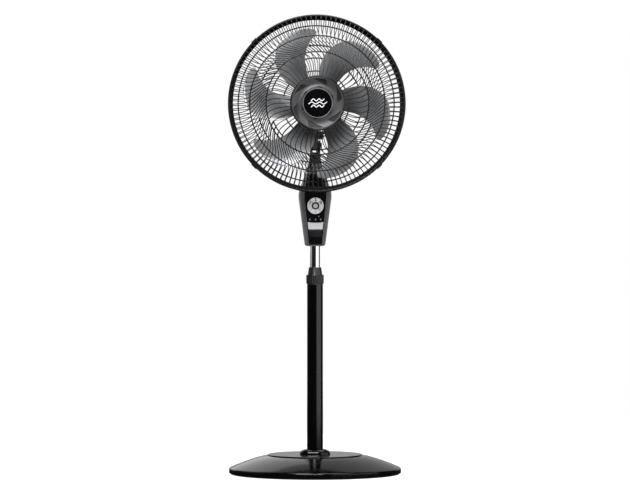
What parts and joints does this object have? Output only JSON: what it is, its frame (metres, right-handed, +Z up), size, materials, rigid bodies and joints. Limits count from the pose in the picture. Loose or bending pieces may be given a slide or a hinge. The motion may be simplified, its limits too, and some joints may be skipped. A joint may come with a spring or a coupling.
{
  "type": "pedestal fan",
  "caption": "Pedestal fan: round base, telescopic column, tapered control box, tilting and panning motor head, swirl-ribbed guards round a swept-blade fan.",
  "frame": {"origin": "on the floor, on the column's axis", "axes": "+Z up, the fan faces -Y, +X is to the right seen from in front"},
  "size_m": [0.438, 0.43, 1.141],
  "materials": {
    "base_black": "gloss",
    "column_black": "gloss",
    "chrome_tube": "polished",
    "black_plastic": "satin",
    "guard_black": "gloss",
    "box_grey": "gloss",
    "panel_black": "gloss",
    "silver_plastic": "satin",
    "light_lens": "gloss",
    "dark_lens": "gloss",
    "blade_grey": "satin",
    "cap_grey": "satin",
    "disc_black": "gloss",
    "steel": "satin",
    "cast_grey": "matte",
    "lamination": "matte",
    "copper_wire": "satin",
    "bronze": "satin",
    "nylon": "satin",
    "board_green": "satin",
    "switch_black": "matte",
    "concrete": "matte",
    "rubber_black": "matte"
  },
  "bodies": {
    "stand": {"base_shell": "base_black", "base_weight": "concrete", "base_cover": "black_plastic", "foot_ring": "rubber_black", "column_socket": "base_black", "base_bolt": "steel", "base_washer": "steel", "outer_column": "column_black", "height_sleeve": "black_plastic"},
    "lock_nut": {"height_nut": "black_plastic"},
    "riser": {"inner_tube": "chrome_tube", "tube_guide": "black_plastic", "box_front": "box_grey", "box_back": "box_grey", "neck": "black_plastic", "control_panel": "panel_black", "button_ring": "black_plastic", "indicator_lights": "light_lens", "name_plate": "silver_plastic", "receiver_window": "dark_lens", "circuit_board": "board_green", "key_switches": "switch_black", "box_screws": "steel", "cord_gland": "black_plastic", "tilt_bolt": "steel"},
    "key_1": {"speed_key_1": "silver_plastic"},
    "key_2": {"speed_key_2": "silver_plastic"},
    "key_3": {"speed_key_3": "silver_plastic"},
    "key_timer": {"timer_key": "silver_plastic"},
    "key_power": {"power_button": "silver_plastic"},
    "tilt_head": {"tilt_bracket": "cast_grey", "pan_bush": "bronze"},
    "motor_head": {"pan_pin": "steel", "motor_saddle": "cast_grey", "front_housing": "black_plastic", "rear_housing": "black_plastic", "housing_screws": "steel", "stator_core": "lamination", "stator_windings": "copper_wire", "front_bearing": "bronze", "rear_bearing": "bronze", "gearbox_housing": "nylon", "gearbox_lid": "nylon", "rear_guard": "guard_black", "guard_nut": "black_plastic", "front_guard": "guard_black", "guard_latches": "black_plastic", "badge_cap": "cap_grey", "badge_ring": "silver_plastic", "badge_disc": "disc_black"},
    "rotor": {"motor_shaft": "steel", "rotor_core": "lamination", "fan_blades": "blade_grey", "blade_nut": "black_plastic", "drive_pin": "steel"},
    "worm_gear": {"worm_wheel": "nylon"},
    "crank": {"crank_gear": "nylon"},
    "link": {"crank_link": "steel"},
    "knob": {"oscillation_knob": "black_plastic"}
  },
  "joints": [
    {"name": "height", "type": "slide", "parent": "stand", "child": "riser", "axis": [0, 0, 1], "range_m": [-0.048, 0.2]},
    {"name": "height_lock", "type": "hinge", "parent": "stand", "child": "lock_nut", "pos_m": [0, 0, 0.48], "axis": [0, 0, 1], "range_deg": [0, 120]},
    {"name": "press_speed_1", "type": "slide", "parent": "riser", "child": "key_1", "axis": [0, 1, 0], "range_m": [0, 0.0008], "stiffness_N_per_m": 1500, "springref_m": -0.0004},
    {"name": "press_speed_2", "type": "slide", "parent": "riser", "child": "key_2", "axis": [0, 1, 0], "range_m": [0, 0.0008], "stiffness_N_per_m": 1500, "springref_m": -0.0004},
    {"name": "press_speed_3", "type": "slide", "parent": "riser", "child": "key_3", "axis": [0, 1, 0], "range_m": [0, 0.0008], "stiffness_N_per_m": 1500, "springref_m": -0.0004},
    {"name": "press_timer", "type": "slide", "parent": "riser", "child": "key_timer", "axis": [0, 1, 0], "range_m": [0, 0.0008], "stiffness_N_per_m": 1500, "springref_m": -0.0004},
    {"name": "press_power", "type": "slide", "parent": "riser", "child": "key_power", "axis": [0, 1, 0], "range_m": [0, 0.0008], "stiffness_N_per_m": 1500, "springref_m": -0.0004},
    {"name": "tilt", "type": "hinge", "parent": "riser", "child": "tilt_head", "pos_m": [0, 0, 0.82], "axis": [-1, 0, 0], "range_deg": [-10, 25]},
    {"name": "oscillation", "type": "hinge", "parent": "tilt_head", "child": "motor_head", "pos_m": [0, 0, 0.85], "axis": [0, 0, 1], "range_deg": [-40, 40]},
    {"name": "fan_spin", "type": "hinge", "parent": "motor_head", "child": "rotor", "pos_m": [0, 0, 0.922], "axis": [0, 1, 0], "continuous": true},
    {"name": "worm_wheel_spin", "type": "hinge", "parent": "motor_head", "child": "worm_gear", "pos_m": [0.0173, 0.04603, 0.922], "axis": [0, 0, 1], "continuous": true},
    {"name": "crank_turn", "type": "hinge", "parent": "motor_head", "child": "crank", "pos_m": [0.026, 0.058, 0.87], "axis": [0, 0, 1], "range_deg": [-90, 90]},
    {"name": "link_swing", "type": "hinge", "parent": "crank", "child": "link", "pos_m": [0.04271, 0.058, 0.8585], "axis": [0, 0, 1], "range_deg": [-90, 90]},
    {"name": "oscillation_knob_pull", "type": "slide", "parent": "motor_head", "child": "knob", "axis": [0, 0, 1], "range_m": [0, 0.008]}
  ],
  "couplings": [
    {"joint": "worm_wheel_spin", "follows": "fan_spin", "ratio": 0.033333},
    {"joint": "crank_turn", "follows": "oscillation", "ratio": -2.25},
    {"joint": "link_swing", "follows": "oscillation", "ratio": 2.25}
  ]
}
